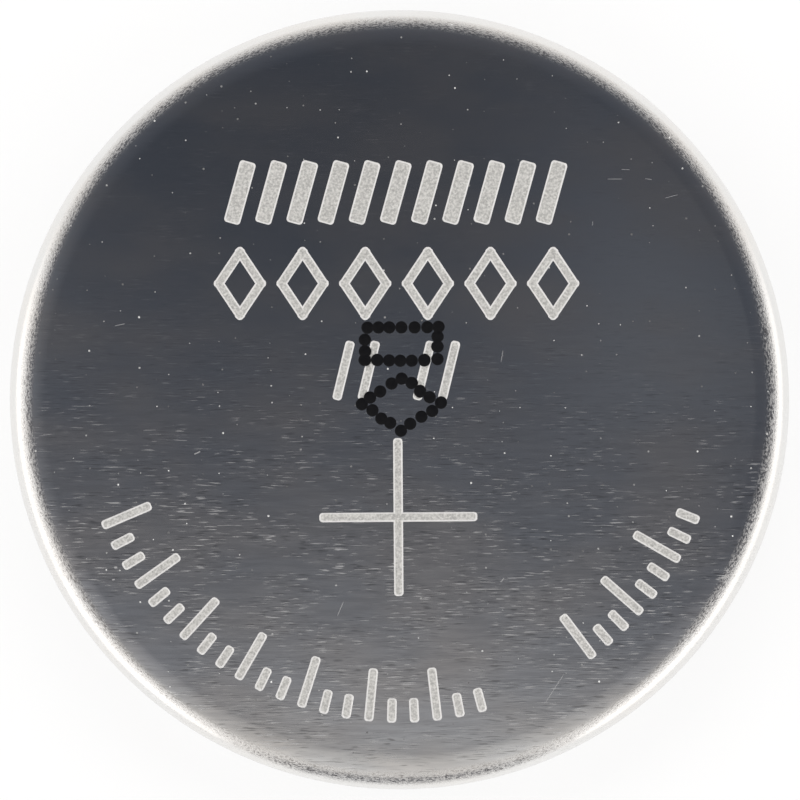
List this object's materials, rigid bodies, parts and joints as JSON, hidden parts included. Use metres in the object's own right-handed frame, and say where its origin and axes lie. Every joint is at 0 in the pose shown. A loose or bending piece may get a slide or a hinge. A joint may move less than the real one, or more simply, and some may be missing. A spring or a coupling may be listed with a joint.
{
  "type": "lithium coin cell",
  "caption": "Flat round rechargeable lithium cell: a steel can crimped over a gasket and a raised contact cap, with cathode tablet, ring, separator and anode disc inside.",
  "frame": {"origin": "centre of the negative cap's contact face, on which the cell rests", "axes": "+Z from the negative contact face to the positive face, +Y towards the top of the positive face's marks, so that the plus sign lies on the -Y side, +X to the right"},
  "size_m": [0.02, 0.02, 0.0032],
  "materials": {
    "can_steel": "bright rolled stainless steel, mirror-like with fine rolling streaks",
    "cap_steel": "satin stainless steel",
    "gasket_plastic": "moulded polypropylene, satin",
    "cathode_powder": "pressed black powder, matt",
    "ring_steel": "thin stainless strip",
    "separator_fibre": "nonwoven polypropylene",
    "anode_alloy": "dull grey alloy"
  },
  "bodies": {
    "root": {"positive_can": "can_steel", "gasket": "gasket_plastic", "negative_cap": "cap_steel", "cathode_pellet": "cathode_powder", "cathode_ring": "ring_steel", "separator": "separator_fibre", "anode_disc": "anode_alloy"}
  },
  "joints": []
}
